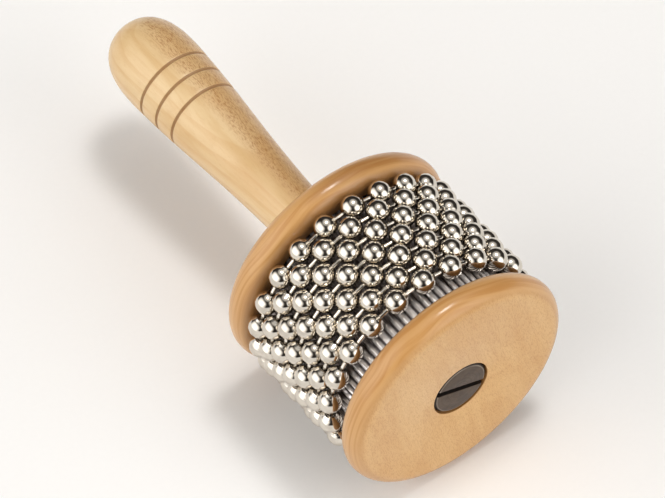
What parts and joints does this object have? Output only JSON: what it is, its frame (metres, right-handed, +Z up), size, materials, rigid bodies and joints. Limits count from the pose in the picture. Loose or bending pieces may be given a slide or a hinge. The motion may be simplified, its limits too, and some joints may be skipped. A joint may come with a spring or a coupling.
{
  "type": "cabasa",
  "caption": "Small hand cabasa: loose loops of steel ball chain round a corrugated drum between round wooden flanges, on a turned and grooved wooden handle.",
  "frame": {"origin": "on the surface that it lies on, below the middle of its length", "axes": "+Y along the axis from the front face to the handle's domed end, +Z up"},
  "size_m": [0.058, 0.1232, 0.058],
  "materials": {
    "lacquered_beech": "clear semi-gloss lacquer",
    "plain_beech": "unfinished",
    "corrugated_steel": "bright rolled sheet",
    "nickel_balls": "bright nickel plate",
    "nickel_links": "bright nickel plate",
    "dark_screw": "dark oxide, semi-gloss",
    "brass_insert": "turned"
  },
  "bodies": {
    "head_and_handle": {"handle": "lacquered_beech", "threaded_insert": "brass_insert", "back_flange": "lacquered_beech", "drum_core": "plain_beech", "corrugated_sleeve": "corrugated_steel", "front_flange": "lacquered_beech", "assembly_screw": "dark_screw"},
    "chain_1": {"chain_1_balls": "nickel_balls", "chain_1_links": "nickel_links"},
    "chain_2": {"chain_2_balls": "nickel_balls", "chain_2_links": "nickel_links"},
    "chain_3": {"chain_3_balls": "nickel_balls", "chain_3_links": "nickel_links"},
    "chain_4": {"chain_4_balls": "nickel_balls", "chain_4_links": "nickel_links"},
    "chain_5": {"chain_5_balls": "nickel_balls", "chain_5_links": "nickel_links"},
    "chain_6": {"chain_6_balls": "nickel_balls", "chain_6_links": "nickel_links"},
    "chain_7": {"chain_7_balls": "nickel_balls", "chain_7_links": "nickel_links"}
  },
  "joints": [
    {"name": "chain_1_spin", "type": "hinge", "parent": "head_and_handle", "child": "chain_1", "pos_m": [0, -0.02345, 0.029], "axis": [0, 1, 0], "continuous": true},
    {"name": "chain_2_spin", "type": "hinge", "parent": "head_and_handle", "child": "chain_2", "pos_m": [0, -0.02765, 0.029], "axis": [0, 1, 0], "continuous": true},
    {"name": "chain_3_spin", "type": "hinge", "parent": "head_and_handle", "child": "chain_3", "pos_m": [0, -0.03184, 0.029], "axis": [0, 1, 0], "continuous": true},
    {"name": "chain_4_spin", "type": "hinge", "parent": "head_and_handle", "child": "chain_4", "pos_m": [0, -0.03604, 0.029], "axis": [0, 1, 0], "continuous": true},
    {"name": "chain_5_spin", "type": "hinge", "parent": "head_and_handle", "child": "chain_5", "pos_m": [0, -0.04024, 0.029], "axis": [0, 1, 0], "continuous": true},
    {"name": "chain_6_spin", "type": "hinge", "parent": "head_and_handle", "child": "chain_6", "pos_m": [0, -0.04443, 0.029], "axis": [0, 1, 0], "continuous": true},
    {"name": "chain_7_spin", "type": "hinge", "parent": "head_and_handle", "child": "chain_7", "pos_m": [0, -0.04863, 0.029], "axis": [0, 1, 0], "continuous": true}
  ],
  "couplings": [
    {"joint": "chain_2_spin", "follows": "chain_1_spin", "ratio": 1},
    {"joint": "chain_3_spin", "follows": "chain_1_spin", "ratio": 1},
    {"joint": "chain_4_spin", "follows": "chain_1_spin", "ratio": 1},
    {"joint": "chain_5_spin", "follows": "chain_1_spin", "ratio": 1},
    {"joint": "chain_6_spin", "follows": "chain_1_spin", "ratio": 1},
    {"joint": "chain_7_spin", "follows": "chain_1_spin", "ratio": 1}
  ]
}
